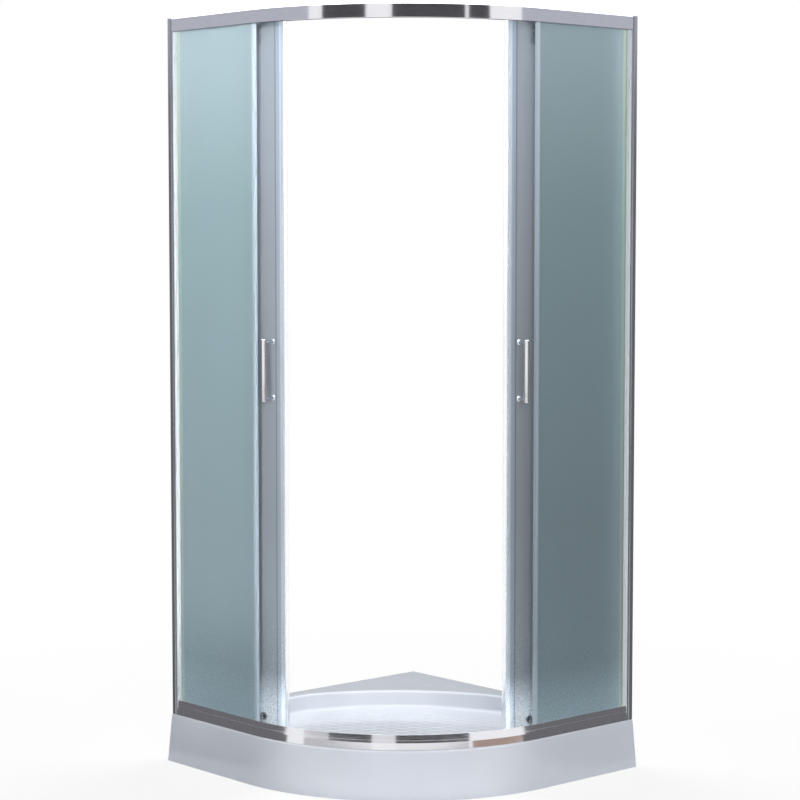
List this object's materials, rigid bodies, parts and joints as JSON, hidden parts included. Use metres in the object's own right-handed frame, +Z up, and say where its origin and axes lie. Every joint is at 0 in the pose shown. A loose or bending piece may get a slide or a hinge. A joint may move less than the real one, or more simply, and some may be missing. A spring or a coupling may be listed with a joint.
{
  "type": "quadrant shower enclosure",
  "caption": "Corner shower enclosure with a quarter-round low tray, bent rails, flat frosted side panes and curved sliding doors shown open.",
  "frame": {"origin": "on the floor, at the middle of the square that the tray stands in", "axes": "+Z up; the two walls are the planes x = -0.45 and y = +0.45; the entry faces +X -Y, along the diagonal"},
  "size_m": [0.9, 0.9, 2],
  "materials": {
    "tray_acrylic": "gloss white acrylic",
    "galvanised_steel": "galvanised steel",
    "drain_plastic": "moulded white plastic",
    "chrome": "polished",
    "rail_chrome": "bright anodised, polished",
    "upright_aluminium": "bright anodised",
    "white_paint": "white powder coat on steel",
    "stainless": "brushed",
    "frosted_glass": "frosted, cool tint",
    "clear_vinyl": "clear soft vinyl",
    "grey_plastic": "moulded grey",
    "stop_rubber": "matt",
    "white_nylon": "moulded nylon"
  },
  "bodies": {
    "enclosure": {"tray": "tray_acrylic", "tray_frame": "galvanised_steel", "tray_feet": "galvanised_steel", "drain_body": "drain_plastic", "drain_cover": "chrome", "bottom_rail": "rail_chrome", "top_rail": "rail_chrome", "left_wall_channel": "upright_aluminium", "right_wall_channel": "upright_aluminium", "left_post": "upright_aluminium", "right_post": "upright_aluminium", "rail_screws": "stainless", "left_fixed_glass": "frosted_glass", "right_fixed_glass": "frosted_glass", "left_glass_gasket": "clear_vinyl", "right_glass_gasket": "clear_vinyl", "left_edge_strip": "clear_vinyl", "right_edge_strip": "clear_vinyl", "edge_clips": "grey_plastic", "rail_stops": "stop_rubber"},
    "left_door": {"left_door_glass": "frosted_glass", "left_magnet_strip": "clear_vinyl", "left_tail_seal": "clear_vinyl", "left_handle": "chrome", "left_handle_caps": "chrome", "left_hangers": "white_paint", "left_hanger_bolts": "white_nylon", "left_axles": "stainless", "left_glides": "white_nylon"},
    "right_door": {"right_door_glass": "frosted_glass", "right_magnet_strip": "clear_vinyl", "right_tail_seal": "clear_vinyl", "right_handle": "chrome", "right_handle_caps": "chrome", "right_hangers": "white_paint", "right_hanger_bolts": "white_nylon", "right_axles": "stainless", "right_glides": "white_nylon"},
    "left_lead_roller": {"left_lead_wheel": "white_nylon"},
    "left_tail_roller": {"left_tail_wheel": "white_nylon"},
    "right_lead_roller": {"right_lead_wheel": "white_nylon"},
    "right_tail_roller": {"right_tail_wheel": "white_nylon"}
  },
  "joints": [
    {"name": "left_door_slide", "type": "hinge", "parent": "enclosure", "child": "left_door", "pos_m": [-0.1962, 0.4101, 1], "axis": [0, 0, 1], "range_deg": [0, 21.63]},
    {"name": "right_door_slide", "type": "hinge", "parent": "enclosure", "child": "right_door", "pos_m": [-0.4101, 0.1962, 1], "axis": [0, 0, -1], "range_deg": [0, 21.63]},
    {"name": "left_lead_wheel_spin", "type": "hinge", "parent": "left_door", "child": "left_lead_roller", "pos_m": [-0.10601, -0.393, 1.9852], "axis": [0.2334, -0.9724, 0], "continuous": true},
    {"name": "left_tail_wheel_spin", "type": "hinge", "parent": "left_door", "child": "left_tail_roller", "pos_m": [-0.33618, -0.393, 1.9852], "axis": [-0.2334, -0.9724, 0], "continuous": true},
    {"name": "right_lead_wheel_spin", "type": "hinge", "parent": "right_door", "child": "right_lead_roller", "pos_m": [0.393, 0.10601, 1.9852], "axis": [0.9724, -0.2334, 0], "continuous": true},
    {"name": "right_tail_wheel_spin", "type": "hinge", "parent": "right_door", "child": "right_tail_roller", "pos_m": [0.393, 0.33618, 1.9852], "axis": [0.9724, 0.2334, 0], "continuous": true}
  ],
  "couplings": [
    {"joint": "left_lead_wheel_spin", "follows": "left_door_slide", "ratio": -80.197},
    {"joint": "left_tail_wheel_spin", "follows": "left_door_slide", "ratio": -81.359},
    {"joint": "right_lead_wheel_spin", "follows": "right_door_slide", "ratio": 80.197},
    {"joint": "right_tail_wheel_spin", "follows": "right_door_slide", "ratio": 81.359}
  ]
}
